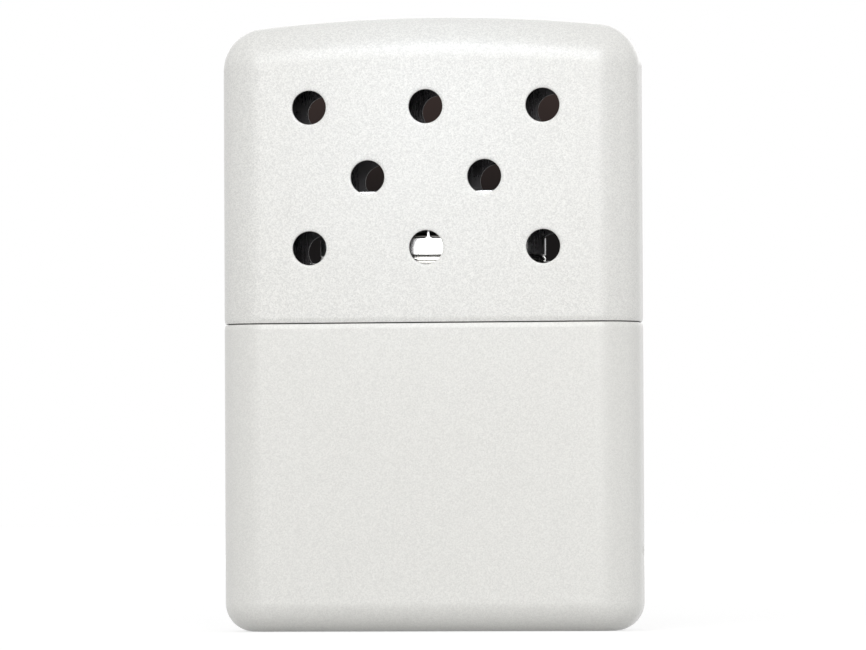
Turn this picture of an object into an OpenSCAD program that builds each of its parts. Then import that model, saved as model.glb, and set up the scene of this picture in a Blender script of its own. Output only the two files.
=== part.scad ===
// Pocket catalytic hand warmer. The lower case is the fuel tank, a vented lid lifts off it,
// and a catalytic burner is pushed onto the tank's neck under the lid.
// Origin: centre of the base. The front faces -Y and +Z is up. Lengths are in millimetres.

/* [Case] */
// Width of the warmer
body_w = 50.8; // [46:0.2:60]
// Thickness of the warmer, front to back
body_t = 13; // [12.4:0.1:16]
// Height of the lower case
case_h = 37.3; // [32:0.1:45]
// Height of the lid, from its rim to its crown
lid_h = 36.9; // [33:0.1:42]
// Sheet thickness of the lid and the lower case
sheet_t = 0.6; // [0.4:0.05:0.8]
// Radius of the upright edges and of the lid's top edges
edge_r = 5.2; // [4:0.1:5.8]
// Radius of the edge round the base
base_r = 3.5; // [2:0.1:3.8]
// Radius of the crowned top, seen from the front
crown_r = 195; // [120:5:400]
// Radius on the two edges that meet at the seam
rim_r = 0.3; // [0.1:0.05:0.35]
// Gap of the seam between the lid and the lower case
seam_gap = 0.2; // [0.1:0.05:0.4]

/* [Side dimples] */
// Height of the two small dimples above the base
dimple_z = 9.6; // [6:0.1:20]
// Radius of the ball that presses a dimple
dimple_ball_r = 0.9; // [0.6:0.1:1.5]
// Depth of a dimple
dimple_depth = 0.2; // [0.1:0.05:0.3]

/* [Vents] */
// Diameter of a vent
vent_d = 4.1; // [3:0.1:5]
// Distance between neighbouring vents in a row
vent_pitch = 14.2; // [10:0.1:15]
// Distance between the rows of vents
vent_row_pitch = 8.5; // [6:0.1:9]
// Height of the middle row above the lid's rim
vent_row_z = 17.3; // [15:0.1:19]
// Rows of vents, with three and two vents in turn
vent_rows = 3; // [1:1:3]
// Width of the bevel round a vent
vent_bevel = 0.2; // [0.1:0.05:0.3]

/* [Collar] */
// Height of the collar above the lower case
collar_rise = 7.2; // [5:0.1:9]
// Length of the collar inside the lower case
collar_inset = 8; // [5:0.5:15]
// Sheet thickness of the collar
collar_t = 0.5; // [0.3:0.05:0.7]
// Radius of the collar's top edge
collar_edge_r = 1.2; // [0.6:0.1:2]
// Clearance round the collar, on each side
lid_fit = 0.1; // [0.05:0.01:0.2]

/* [Neck] */
// Sheet thickness of the neck
neck_sheet_t = 0.5; // [0.3:0.05:0.7]
// Height of the shoulder that the burner stands on
shoulder_h = 0.9; // [0.5:0.1:1.5]
// Length of the neck inside the burner's skirt
neck_grip = 1.6; // [1:0.1:3]
// Length of the neck below the collar's plate
neck_inset = 3; // [2:0.1:5]
// Width of the flange under the collar's plate
flange_w = 0.8; // [0.5:0.1:1]
// Clearance between the neck and the hole in the collar's plate
neck_fit = 0.05; // [0.02:0.01:0.1]

/* [Burner] */
// Width of the burner
burner_w = 27.5; // [22:0.1:32]
// Thickness of the burner, front to back
burner_t = 8.6; // [8:0.1:9.6]
// Height of the burner
burner_h = 7.8; // [7:0.1:9]
// Sheet thickness of the burner's cage
burner_sheet_t = 0.5; // [0.3:0.05:0.6]
// Radius of the burner's top edge
burner_edge_r = 0.6; // [0.5:0.1:1]
// Clearance between the burner's skirt and the neck
burner_fit = 0.1; // [0.05:0.01:0.2]
// Gap between the burner and its shoulder
seat_gap = 0.05; // [0.02:0.01:0.1]
// Side windows on each long side
window_count = 6; // [3:1:8]
// Width of the bar between two side windows
window_bar_w = 0.4; // [0.3:0.1:1.2]
// Height of a side window
window_h = 4.8; // [3:0.1:4.9]
// Height of the band above the side windows
window_top_band = 0.9; // [0.8:0.1:1.5]
// Width of the flat band beside the outer windows
window_side_band = 0.4; // [0.3:0.1:2]
// Width of the window in each rounded end
end_window_w = 3; // [2:0.1:4]
// Corner radius of the side windows
window_corner_r = 0.35; // [0.2:0.05:0.5]
// Slots in the burner's top
top_slot_count = 9; // [5:1:11]
// Width of a slot in the burner's top
top_slot_w = 1.2; // [0.8:0.1:1.4]
// Width of the rim round the slots in the burner's top
top_rim_w = 1.5; // [1.2:0.1:2]
// Height of the retaining ring
retainer_h = 0.4; // [0.3:0.05:0.6]
// Width of the retaining ring
retainer_w = 1.2; // [0.8:0.1:1.6]
// Gap between the neck and the retaining ring
retainer_gap = 0.1; // [0.05:0.01:0.2]

/* [Gauze and filling] */
// Thickness of a wire gauze
gauze_t = 0.4; // [0.3:0.05:0.5]
// Distance between the wires of a gauze
gauze_pitch = 1.6; // [1.4:0.1:2.4]
// Width of a gauze's wires
gauze_wire_w = 0.5; // [0.3:0.05:0.7]
// Width of the plain rim round a gauze
gauze_rim_w = 0.8; // [0.6:0.1:1.2]
// Clearance round the gauze and the retaining ring in the cage
cage_fit = 0.05; // [0.02:0.01:0.1]
// Clearance round the catalyst mat
mat_gap = 0.2; // [0.1:0.05:0.3]
// Thickness of the felt pad
felt_t = 3; // [2:0.1:4]
// Length of the felt pad inside the neck
felt_grip = 1.6; // [1:0.1:1.9]
// Clearance round the felt and the cotton
filling_gap = 0.3; // [0.2:0.05:0.5]
// Share of the cotton's height that the lower batt takes
cotton_split_ratio = 0.5; // [0.3:0.05:0.7]

/* [Hidden] */
$fn = 96;
crown_fn = 720;

past = 1;

// Lid
lid_z = case_h + seam_gap;
total_h = lid_z + lid_h;
// The crown's sweep lies this much inside the rounded block that it rises from, so they cross cleanly.
crown_sink = 0.02;
crown_z = total_h - crown_r + crown_sink;
edge_x = body_w / 2 - edge_r;
crown_core_r = crown_r - edge_r;
crown_angle = asin(edge_x / crown_core_r);
corner_z = crown_z + crown_core_r * cos(crown_angle);
crown_rise = crown_z + crown_core_r - corner_z;

// Collar
collar_w = body_w - 2 * (sheet_t + lid_fit);
collar_d = body_t - 2 * (sheet_t + lid_fit);
collar_r = edge_r - sheet_t - lid_fit;
collar_z = case_h - collar_inset;
collar_top = case_h + collar_rise;
plate_z = collar_top - collar_t;

// Neck
neck_w = burner_w - 2 * (burner_sheet_t + burner_fit);
neck_d = burner_t - 2 * (burner_sheet_t + burner_fit);
neck_z = plate_z - neck_inset;
seat_z = collar_top + shoulder_h;
neck_top = seat_z + neck_grip;
mouth_w = neck_w - 2 * neck_sheet_t;
mouth_d = neck_d - 2 * neck_sheet_t;

// Burner
burner_z = seat_z + seat_gap;
burner_top = burner_z + burner_h;
cage_w = burner_w - 2 * burner_sheet_t;
cage_d = burner_t - 2 * burner_sheet_t;
cage_top = burner_top - burner_sheet_t;
cage_r = burner_edge_r - burner_sheet_t;
window_z = burner_top - window_top_band - window_h;
window_pitch = (burner_w - burner_t - 2 * window_side_band + window_bar_w) / window_count;
retainer_z = neck_top + retainer_gap;
gauze_lower_z = retainer_z + retainer_h;
gauze_upper_z = cage_top - cage_r - gauze_t;
mat_z = gauze_lower_z + gauze_t;

// Filling
felt_z = neck_z + felt_grip - felt_t;
cotton_z = sheet_t + filling_gap;
cotton_h = felt_z - filling_gap / 2 - cotton_z;
cotton_w = collar_w - 2 * (collar_t + filling_gap);
cotton_d = collar_d - 2 * (collar_t + filling_gap);
cotton_r = collar_r - collar_t - filling_gap;

paint = "WhiteSmoke";
plating = "Silver";
wire = "DarkGray";
fibre = "DimGray";
felt = "Tan";
cotton = "Ivory";

// The outer edge of a block in section: reach wide and h high, with rounded outer corners.
module edge_section(reach, h, low_r, high_r) {
    difference() {
        square([reach, h]);
        if (low_r > 0) {
            translate([reach - low_r, 0])
                corner_cut(low_r);
        }
        if (high_r > 0) {
            translate([reach - high_r, h])
                mirror([0, 1])
                    corner_cut(high_r);
        }
    }
}

// What a corner of radius r leaves of its square.
module corner_cut(r) {
    difference() {
        translate([0, -past])
            square([r + past, r + past]);
        translate([0, r])
            circle(r);
        translate([-past, -2 * past])
            square([past, r + 3 * past]);
    }
}

// An upright block with upright edges of radius r, and low_r and high_r round its ends.
module round_block(w, d, h, r, low_r, high_r) {
    flat_w = w - 2 * r;
    flat_d = d - 2 * r;
    translate([-flat_w / 2, -flat_d / 2, 0])
        cube([flat_w, flat_d, h]);
    for (turn = [0, 180]) {
        rotate([0, 0, turn])
            translate([-flat_w / 2, flat_d / 2, 0])
                rotate([90, 0, 90])
                    linear_extrude(flat_w)
                        edge_section(r, h, low_r, high_r);
        rotate([0, 0, turn])
            translate([flat_w / 2, flat_d / 2, 0])
                rotate([90, 0, 0])
                    linear_extrude(flat_d)
                        edge_section(r, h, low_r, high_r);
        rotate([0, 0, turn])
            translate([flat_w / 2, flat_d / 2, 0])
                rotate_extrude(angle = 90)
                    edge_section(r, h, low_r, high_r);
        rotate([0, 0, turn])
            translate([-flat_w / 2, flat_d / 2, 0])
                rotate([0, 0, 90])
                    rotate_extrude(angle = 90)
                        edge_section(r, h, low_r, high_r);
    }
}

// The lid's form, inset on all sides but the open one, from z up to its crowned top.
module crowned_block(z, inset, low_r) {
    d = body_t - 2 * inset;
    r = edge_r - inset;
    translate([0, 0, z])
        round_block(body_w - 2 * inset, d, corner_z + r - z, r, low_r, r);
    translate([0, 0, crown_z])
        rotate([90, 0, 0])
            rotate_extrude(angle = 2 * crown_angle, start = 90 - crown_angle, $fn = crown_fn)
                translate([crown_core_r, 0])
                    crown_section(d - 2 * crown_sink, r - crown_sink, crown_rise + r / 3, $fn = 96);
}

// The crown in section, from root below the core's radius up to r above it.
module crown_section(d, r, root) {
    translate([-root, -d / 2])
        square([root, d]);
    translate([-root, -d / 2 + r])
        square([root + r, d - 2 * r]);
    for (side = [-1, 1]) {
        translate([0, side * (d / 2 - r)])
            intersection() {
                circle(r);
                translate([0, -2 * r])
                    square([2 * r, 4 * r]);
            }
    }
}

// A flat shape with two round ends.
module stadium(w, d) {
    translate([-(w - d) / 2, -d / 2])
        square([w - d, d]);
    for (side = [-1, 1]) {
        translate([side * (w - d) / 2, 0])
            circle(d / 2);
    }
}

// An upright block with two round ends and high_r round its top.
module stadium_block(w, d, h, high_r) {
    translate([-(w - d) / 2, 0, 0])
        rotate([90, 0, 90])
            linear_extrude(w - d) {
                edge_section(d / 2, h, 0, high_r);
                mirror([1, 0])
                    edge_section(d / 2, h, 0, high_r);
            }
    for (turn = [0, 180]) {
        rotate([0, 0, turn])
            translate([(w - d) / 2, 0, 0])
                rotate([0, 0, -90])
                    rotate_extrude(angle = 180)
                        edge_section(d / 2, h, 0, high_r);
    }
}

// A rectangle with rounded corners, centred.
module round_square(w, h, r) {
    square([w - 2 * r, h], center = true);
    square([w, h - 2 * r], center = true);
    for (x = [-1, 1], y = [-1, 1]) {
        translate([x * (w / 2 - r), y * (h / 2 - r)])
            circle(r);
    }
}

// One vent through the front and the back, bevelled where it meets both faces.
module vent() {
    rotate([90, 0, 0])
        cylinder(d = vent_d, h = body_t + 2 * past, center = true);
    for (side = [0, 1]) {
        mirror([0, side, 0])
            translate([0, -body_t / 2 - vent_bevel, 0])
                rotate([-90, 0, 0])
                    cylinder(r1 = vent_d / 2 + 2 * vent_bevel, r2 = vent_d / 2, h = 2 * vent_bevel);
    }
}

// The vents, in rows of three and two in turn round the middle row.
module vents() {
    for (row = [0 : vent_rows - 1]) {
        count = row % 2 == 0 ? 3 : 2;
        for (i = [0 : count - 1]) {
            translate([
                (i - (count - 1) / 2) * vent_pitch,
                0,
                lid_z + vent_row_z + (row - (vent_rows - 1) / 2) * vent_row_pitch
            ])
                vent();
        }
    }
}

// Upper case: a drawn shell with a crowned top, open below.
module lid_shell() {
    color(paint)
        difference() {
            crowned_block(lid_z, 0, rim_r);
            crowned_block(lid_z - past, sheet_t, 0);
            vents();
        }
}

// Lower case: a drawn shell, open above.
module tank_shell() {
    color(paint)
        difference() {
            round_block(body_w, body_t, case_h, edge_r, base_r, rim_r);
            translate([0, 0, sheet_t])
                round_block(
                    body_w - 2 * sheet_t, body_t - 2 * sheet_t, case_h,
                    edge_r - sheet_t, base_r - sheet_t, 0
                );
            for (side = [-1, 1]) {
                translate([side * (body_w / 2 + dimple_ball_r - dimple_depth), 0, dimple_z])
                    sphere(dimple_ball_r);
            }
        }
}

// Plated cap of the tank: the wall that the lid grips, and the plate round the neck.
module tank_collar() {
    h = collar_top - collar_z;
    color(plating)
        difference() {
            translate([0, 0, collar_z])
                round_block(collar_w, collar_d, h, collar_r, 0, collar_edge_r);
            translate([0, 0, collar_z - past])
                round_block(
                    collar_w - 2 * collar_t, collar_d - 2 * collar_t, h - collar_t + past,
                    collar_r - collar_t, 0, collar_edge_r - collar_t
                );
            translate([0, 0, plate_z - past])
                linear_extrude(collar_t + 2 * past)
                    stadium(neck_w + 2 * neck_fit, neck_d + 2 * neck_fit);
        }
}

// Neck round the filling mouth, with a flange under the plate and a shoulder on it.
module fill_neck() {
    color(plating)
        difference() {
            union() {
                translate([0, 0, neck_z])
                    linear_extrude(neck_top - neck_z)
                        stadium(neck_w, neck_d);
                translate([0, 0, plate_z - neck_sheet_t])
                    linear_extrude(neck_sheet_t)
                        stadium(neck_w + 2 * flange_w, neck_d + 2 * flange_w);
                translate([0, 0, collar_top])
                    linear_extrude(shoulder_h)
                        stadium(burner_w, burner_t);
            }
            translate([0, 0, neck_z - past])
                linear_extrude(neck_top - neck_z + 2 * past)
                    stadium(mouth_w, mouth_d);
        }
}

// Felt pad that keeps the cotton down, below the filling mouth.
module wick_felt() {
    color(felt)
        translate([0, 0, felt_z])
            linear_extrude(felt_t)
                stadium(mouth_w - 2 * filling_gap, mouth_d - 2 * filling_gap);
}

// One batt of cotton, from a share of the filling's height to another.
module cotton_batt(from, to) {
    gap = filling_gap / 2;
    color(cotton)
        translate([0, 0, cotton_z + from * cotton_h + (from > 0 ? gap : 0)])
            round_block(
                cotton_w, cotton_d, (to - from) * cotton_h - gap,
                cotton_r, from > 0 ? cotton_r / 3 : cotton_r * 2 / 3, cotton_r / 3
            );
}

module cotton_lower() {
    cotton_batt(0, cotton_split_ratio);
}

module cotton_upper() {
    cotton_batt(cotton_split_ratio, 1);
}

// Cage of the burner: windows round its sides, slots in its top, open below.
module burner_frame() {
    slot_l = cage_d - 2 * (top_rim_w - burner_sheet_t);
    slot_span = burner_w - 2 * top_rim_w - top_slot_w;
    color(plating)
        difference() {
            translate([0, 0, burner_z])
                stadium_block(burner_w, burner_t, burner_h, burner_edge_r);
            translate([0, 0, burner_z - past])
                stadium_block(cage_w, cage_d, burner_h - burner_sheet_t + past, cage_r);
            for (i = [0 : window_count - 1]) {
                translate([(i - (window_count - 1) / 2) * window_pitch, 0, window_z + window_h / 2])
                    rotate([90, 0, 0])
                        linear_extrude(burner_t + 2 * past, center = true)
                            round_square(window_pitch - window_bar_w, window_h, window_corner_r);
            }
            translate([0, 0, window_z + window_h / 2])
                rotate([90, 0, 90])
                    linear_extrude(burner_w + 2 * past, center = true)
                        round_square(end_window_w, window_h, window_corner_r);
            for (i = [0 : top_slot_count - 1]) {
                x = (i / (top_slot_count - 1) - 1 / 2) * slot_span;
                bend = max(0, abs(x) + top_slot_w / 2 - (burner_w - burner_t) / 2);
                half_l = sqrt(pow(burner_t / 2 - top_rim_w, 2) - pow(bend, 2));
                if (half_l > top_slot_w / 2) {
                    translate([x, 0, cage_top - past])
                        linear_extrude(burner_sheet_t + 2 * past)
                            rotate(90)
                                stadium(min(slot_l, 2 * half_l), top_slot_w);
                }
            }
        }
}

// Ring that closes the cage from below and carries the lower gauze.
module burner_retainer() {
    w = cage_w - 2 * cage_fit;
    d = cage_d - 2 * cage_fit;
    color(plating)
        translate([0, 0, retainer_z])
            linear_extrude(retainer_h)
                difference() {
                    stadium(w, d);
                    stadium(w - 2 * retainer_w, d - 2 * retainer_w);
                }
}

// Distance of a point from the straight middle line of a stadium-shaped sheet w by d.
function from_spine(x, y, w, d) = norm([max(0, abs(x) - (w - d) / 2), y]);

// A sheet of wire gauze with a plain rim.
module gauze() {
    w = cage_w - 2 * cage_fit;
    d = cage_d - 2 * cage_fit;
    gap = gauze_pitch - gauze_wire_w;
    columns = floor(w / 2 / gauze_pitch);
    rows = floor(d / 2 / gauze_pitch);
    color(wire)
        linear_extrude(gauze_t)
            difference() {
                stadium(w, d);
                for (i = [-columns : columns], j = [-rows : rows]) {
                    x = i * gauze_pitch;
                    y = j * gauze_pitch;
                    if (from_spine(abs(x) + gap / 2, abs(y) + gap / 2, w, d) < d / 2 - gauze_rim_w) {
                        translate([x, y])
                            square(gap, center = true);
                    }
                }
            }
}

module gauze_lower() {
    translate([0, 0, gauze_lower_z])
        gauze();
}

module gauze_upper() {
    translate([0, 0, gauze_upper_z])
        gauze();
}

// Mat of glass fibre that carries the catalyst, between the two gauzes.
module catalyst_mat() {
    color(fibre)
        translate([0, 0, mat_z + mat_gap])
            linear_extrude(gauze_upper_z - mat_z - 2 * mat_gap)
                stadium(cage_w - 2 * mat_gap, cage_d - 2 * mat_gap);
}

tank_shell();
tank_collar();
fill_neck();
wick_felt();
cotton_lower();
cotton_upper();
burner_frame();
burner_retainer();
gauze_lower();
catalyst_mat();
gauze_upper();
lid_shell();
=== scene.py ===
"""Pocket catalytic hand warmer, dressed for the photograph's view. Lengths are in metres."""
import math
import random

import bmesh
import bpy
from mathutils import Matrix, Vector, noise


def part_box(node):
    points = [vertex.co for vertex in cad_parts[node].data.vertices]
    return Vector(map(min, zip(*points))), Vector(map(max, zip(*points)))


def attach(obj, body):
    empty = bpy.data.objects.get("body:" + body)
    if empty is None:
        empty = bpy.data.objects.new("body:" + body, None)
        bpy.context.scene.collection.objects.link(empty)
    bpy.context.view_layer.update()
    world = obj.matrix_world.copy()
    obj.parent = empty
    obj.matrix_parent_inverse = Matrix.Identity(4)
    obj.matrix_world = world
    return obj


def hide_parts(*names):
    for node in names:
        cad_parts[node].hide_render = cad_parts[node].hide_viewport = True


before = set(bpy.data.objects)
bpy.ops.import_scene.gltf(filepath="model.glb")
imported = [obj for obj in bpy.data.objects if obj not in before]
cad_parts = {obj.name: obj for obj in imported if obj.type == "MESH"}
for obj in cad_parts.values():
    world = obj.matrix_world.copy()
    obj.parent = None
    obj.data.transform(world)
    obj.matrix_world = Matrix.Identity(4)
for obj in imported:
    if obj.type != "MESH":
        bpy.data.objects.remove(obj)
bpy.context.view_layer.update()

MM = 0.001
# Points nearer than this are one: in metres, and for the pieces made in millimetres.
WELD, NEAR_MM = 1e-7, 1e-4
SEED = 7

# The case. The seam, the rims and the vents' edges follow the photograph, the rest the part's source.
BODY_W = 50.8 * MM
BODY_T = 13.0 * MM
LID_Z = 37.5 * MM
TOTAL_H = 74.4 * MM
SHEET_T = 0.6 * MM
EDGE_R = 5.2 * MM
BASE_R = 3.5 * MM
CROWN_R = 195.0 * MM
LEAST_CORNER_R = 0.05 * MM
LID_LOW = 37.29 * MM
TANK_HIGH = 37.17 * MM
RIM_R = 0.12 * MM
RIM_IN_R = 0.1 * MM
RIM_FALL_H = 0.55 * MM
RIM_TILT = math.radians(14)
DIMPLE_Z = 9.6 * MM
DIMPLE_BALL_R = 0.9 * MM
DIMPLE_DEPTH = 0.2 * MM
DIMPLE_LIP = 0.12 * MM
DIMPLE_LIP_SINK = 0.35
DIMPLE_RINGS, DIMPLE_LIP_RINGS, DIMPLE_POINTS = 7, 3, 32
VENT_R = 2.05 * MM
VENT_PITCH = 14.2 * MM
VENT_ROW_PITCH = 8.5 * MM
VENT_ROW_Z = LID_Z + 17.3 * MM
VENT_LIP = 0.12 * MM
VENT_LIP_IN = 0.06 * MM
VENT_FALL_W = 0.4 * MM
EDGE_TILT = math.radians(14)

# The lid's core: the flat plate whose rounded skin is the lid.
EDGE_X = BODY_W / 2 - EDGE_R
CORE_Y = BODY_T / 2 - EDGE_R
CROWN_Z = TOTAL_H - CROWN_R
CORE_R = CROWN_R - EDGE_R
CROWN_ANGLE = math.asin(EDGE_X / CORE_R)
CORNER_Z = CROWN_Z + CORE_R * math.cos(CROWN_ANGLE)

# The plated pieces, in millimetres, as in the part's source but for their sharper edges and the
# neck's rolled shoulder and groove.
PLATE_T = 0.5
PLATE_ARC_STEPS = 24
PLATE_EDGE_STEPS = 6
COLLAR_W, COLLAR_D, COLLAR_R = 49.4, 11.6, 4.5
COLLAR_Z, COLLAR_TOP = 29.3, 44.5
COLLAR_EDGE_R = 1.2
NECK_Z, SEAT_Z, NECK_TOP = 41.0, 45.4, 47.0
FLANGE_W = 0.8
SHOULDER_R = 0.42
FOOT_H, GROOVE_H, GROOVE_DEPTH = 0.06, 0.24, 0.1
BURNER_W, BURNER_T = 27.5, 8.6
BURNER_Z, BURNER_TOP = 45.45, 53.25
BURNER_EDGE_R, BURNER_IN_R = 0.2, 0.08
WINDOW_COUNT, WINDOW_BAR_W = 6, 0.4
WINDOW_SIDE_W = 0.4
WINDOW_PITCH = (BURNER_W - BURNER_T - 2 * WINDOW_SIDE_W + WINDOW_BAR_W) / WINDOW_COUNT
WINDOW_Z, WINDOW_H, WINDOW_R = 47.55, 4.8, 0.35
END_WINDOW_W = 3.0
TOP_SLOTS, TOP_SLOT_W, TOP_RIM_W = 7, 1.2, 1.5
TOP_SLOT_PITCH = (BURNER_W - 2 * TOP_RIM_W - TOP_SLOT_W) / (TOP_SLOTS + 1)
CAGE_FIT, BURNER_FIT, NECK_FIT = 0.05, 0.1, 0.05
RETAINER_Z, RETAINER_H, RETAINER_W = 47.1, 0.4, 1.2
BURNER_BEVEL, COLLAR_BEVEL, THIN_BEVEL = 0.1, 0.08, 0.06
# The straight stretch that is left between two full rounds.
LEAST_FLAT = 0.001

# The pearl paint.
FLAKE_SCALE, PEEL_SCALE, MOTTLE_SCALE = 8000.0, 900.0, 260.0
MOTTLE = 0.03
PAINT_METALLIC, PAINT_IOR = 0.1, 1.5
COAT, COAT_ROUGH = 0.35, 0.16
FLAKE_ROUGH, FLAKE_ROUGH_SPREAD, FLAKE_TILT = 0.34, 0.16, 0.10

# The plating: drawn marks, stains, waves, and a band of painted shade at the seam.
DRAWN_SCALE, DRAWN_STRETCH, DRAWN_SHARE = 5200.0, 0.06, 0.4
STAIN_SCALE, STAIN_SHARE = 190.0, 0.6
WAVE_SCALE, WAVE = 320.0, 0.004
# Painted shade at the seam: the band's half width, its darkest tone and its roughness.
SEAM_SHADE_REACH = 0.45 * MM
SEAM_SHADE_TONE, SEAM_SHADE_ROUGH = 0.12, 0.7

# The gauze.
GAUZE_PITCH = 0.55 * MM
GAUZE_WIRE_R = 0.085 * MM
GAUZE_RIM = 0.5 * MM
GAUZE_POINTS = 5
GAUZE_RIM_SIDES, GAUZE_RIM_STEP = 10, 0.5 * MM

# The soft pieces, in millimetres. Blocks: corner, edge, spacing, lump and grain of their surface.
# Strands: how many, and their length, radius and lift off the surface.
MAT_BATT, MAT_STRANDS = (3.6, 0.8, 0.32, 0.22, 1.1), (900, 4.0, 0.022, 0.05)
FELT_BATT, FELT_STRANDS = (2.9, 0.35, 0.3, 0.08, 0.8), (500, 3.0, 0.018, 0.03)
COTTON_BATT, COTTON_STRANDS = (3.7, 1.6, 0.7, 0.45, 3.5), (400, 9.0, 0.035, 0.1)
BATT_SEEDS = (3, 5, 8, 9)

ARC_STEPS = 20
CROWN_STEPS = 48
VENT_STEPS = 64
LIP_STEPS = 6
FALL_STEPS = 6

# The photograph's camera, fitted to the vents, the seam and the outline.
CAM_YAW = math.radians(7.68)
CAM_ELEVATION = math.radians(-1.66)
CAM_ROLL = math.radians(-0.27)
CAM_DISTANCE = 0.785
CAM_TARGET = Vector((0.0, 0.0, 37.1 * MM))
CAM_RIGHT = -0.063 * MM
CAM_UP = -0.004 * MM
CAM_LENS = 268.84
SENSOR_W = 36.0
CLIP_NEAR, CLIP_FAR = 0.05, 30.0

# The studio.
AMBIENT = 0.66
FLOOR_REACH = 6.0
FLOOR_GREY = 0.50
FLOOR_GLOW_NEAR, FLOOR_GLOW_FAR = 0.61, 0.68
FLOOR_POOL_IN, FLOOR_POOL_OUT = 0.2, 1.6
LAMP_AIM_Z = 40.0 * MM
# name, azimuth, elevation, distance, width, height, radiance
LAMPS = (
    ("key", 3, 22, 0.9, 0.48, 0.65, 2.3),
    ("fill", 0, 22, 1.5, 2.0, 1.2, 0.27),
    ("left", -84, 14, 0.9, 0.7, 0.7, 0.1),
    ("right", 88, 14, 0.9, 0.7, 0.7, 0.3),
    ("back", 176, 16, 1.4, 1.4, 0.5, 0.9),
)
# name, azimuth, elevation, distance, aim height, reach, radius, light
GLOW = ("glow", 4, 32, 0.9, 60 * MM, 0.025, 0.015, 0.15)
GLOW_COLOUR = (0.74, 0.84, 1.0)
CARD_DISTANCE = 3.3
CARD_HALF_W = 0.0253
CARD_LOW = 0.0332
CARD_HIGH = 0.0716
CARD_DARK_Z, CARD_BROWN_Z = 0.19, 0.27


# ---------------------------------------------------------------- node helpers

class Nodes:
    """A material's or world's node tree, with short ways to add and link nodes."""

    def __init__(self, tree):
        self.tree = tree
        tree.nodes.clear()

    def add(self, kind, **settings):
        node = self.tree.nodes.new(kind)
        for name, value in settings.items():
            setattr(node, name, value)
        return node

    def put(self, socket, value):
        """Links value to socket if it is a socket, and otherwise sets it."""
        if isinstance(value, bpy.types.NodeSocket):
            self.tree.links.new(value, socket)
        else:
            socket.default_value = value

    def math(self, operation, a, b=0.0, c=0.0, clamp=False):
        node = self.add("ShaderNodeMath", operation=operation, use_clamp=clamp)
        for socket, value in zip(node.inputs, (a, b, c)):
            self.put(socket, value)
        return node.outputs[0]

    def vector(self, operation, a, b=(0.0, 0.0, 0.0), scale=1.0):
        node = self.add("ShaderNodeVectorMath", operation=operation)
        self.put(node.inputs[0], a)
        if operation == "SCALE":
            self.put(node.inputs["Scale"], scale)
        elif operation != "NORMALIZE":
            self.put(node.inputs[1], b)
        return node.outputs["Value" if operation in ("LENGTH", "DOT_PRODUCT") else "Vector"]

    def ramp(self, value, low, high, to_low=0.0, to_high=1.0):
        """value's range from low to high, mapped to to_low to to_high and clamped."""
        node = self.add("ShaderNodeMapRange")
        for socket, v in zip(node.inputs, (value, low, high, to_low, to_high)):
            self.put(socket, v)
        return node.outputs[0]

    def mix(self, factor, a, b):
        node = self.add("ShaderNodeMix", data_type="RGBA")
        self.put(node.inputs["Factor"], factor)
        self.put(node.inputs["A"], a)
        self.put(node.inputs["B"], b)
        return node.outputs["Result"]

    def noise(self, place, scale, detail, roughness=0.5):
        node = self.add("ShaderNodeTexNoise")
        self.put(node.inputs["Vector"], place)
        node.inputs["Scale"].default_value = scale
        node.inputs["Detail"].default_value = detail
        node.inputs["Roughness"].default_value = roughness
        return node

    def bump(self, height, distance, strength, normal=None):
        node = self.add("ShaderNodeBump")
        node.inputs["Strength"].default_value = strength
        node.inputs["Distance"].default_value = distance
        self.put(node.inputs["Height"], height)
        if normal is not None:
            self.put(node.inputs["Normal"], normal)
        return node.outputs["Normal"]


def new_material(name):
    """A material with an empty tree, its Principled shader, and the object's own coordinates."""
    mat = bpy.data.materials.new(name)
    mat.use_nodes = True
    n = Nodes(mat.node_tree)
    out = n.add("ShaderNodeOutputMaterial")
    shader = n.add("ShaderNodeBsdfPrincipled")
    n.put(out.inputs["Surface"], shader.outputs["BSDF"])
    place = n.add("ShaderNodeTexCoord").outputs["Object"]
    return mat, n, shader, place


def pearl_paint(name, colour, glint):
    """Pearl white lacquer: fine flakes that glint, a soft mottle and a thin clear coat."""
    mat, n, shader, place = new_material(name)
    flakes = n.add("ShaderNodeTexVoronoi")
    n.put(flakes.inputs["Vector"], place)
    flakes.inputs["Scale"].default_value = FLAKE_SCALE
    tone = n.add("ShaderNodeSeparateColor")
    n.put(tone.inputs["Color"], flakes.outputs["Color"])
    mottle = n.noise(place, MOTTLE_SCALE, 3.0, 0.6)
    lift = n.math("MULTIPLY_ADD", tone.outputs["Red"], glint, -glint / 2)
    lift = n.math("MULTIPLY_ADD", mottle.outputs["Fac"], MOTTLE, n.math("SUBTRACT", lift, MOTTLE / 2))
    shade = n.vector("SCALE", colour, scale=n.math("ADD", 1.0, lift))
    n.put(shader.inputs["Base Color"], shade)
    shader.inputs["Metallic"].default_value = PAINT_METALLIC
    shader.inputs["IOR"].default_value = PAINT_IOR
    shader.inputs["Coat Weight"].default_value = COAT
    shader.inputs["Coat Roughness"].default_value = COAT_ROUGH
    rough = n.math("MULTIPLY_ADD", tone.outputs["Green"], FLAKE_ROUGH_SPREAD, FLAKE_ROUGH)
    n.put(shader.inputs["Roughness"], rough)
    peel = n.noise(place, PEEL_SCALE, 2.0, 0.5)
    normal = n.bump(peel.outputs["Fac"], 0.012 * MM, 0.35)
    tilt = n.vector("SUBTRACT", flakes.outputs["Color"], (0.5, 0.5, 0.5))
    normal = n.vector("NORMALIZE", n.vector("ADD", normal, n.vector("SCALE", tilt, scale=FLAKE_TILT)))
    n.put(shader.inputs["Normal"], normal)
    n.put(shader.inputs["Coat Normal"], n.bump(peel.outputs["Fac"], 0.010 * MM, 0.25))
    return mat


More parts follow.
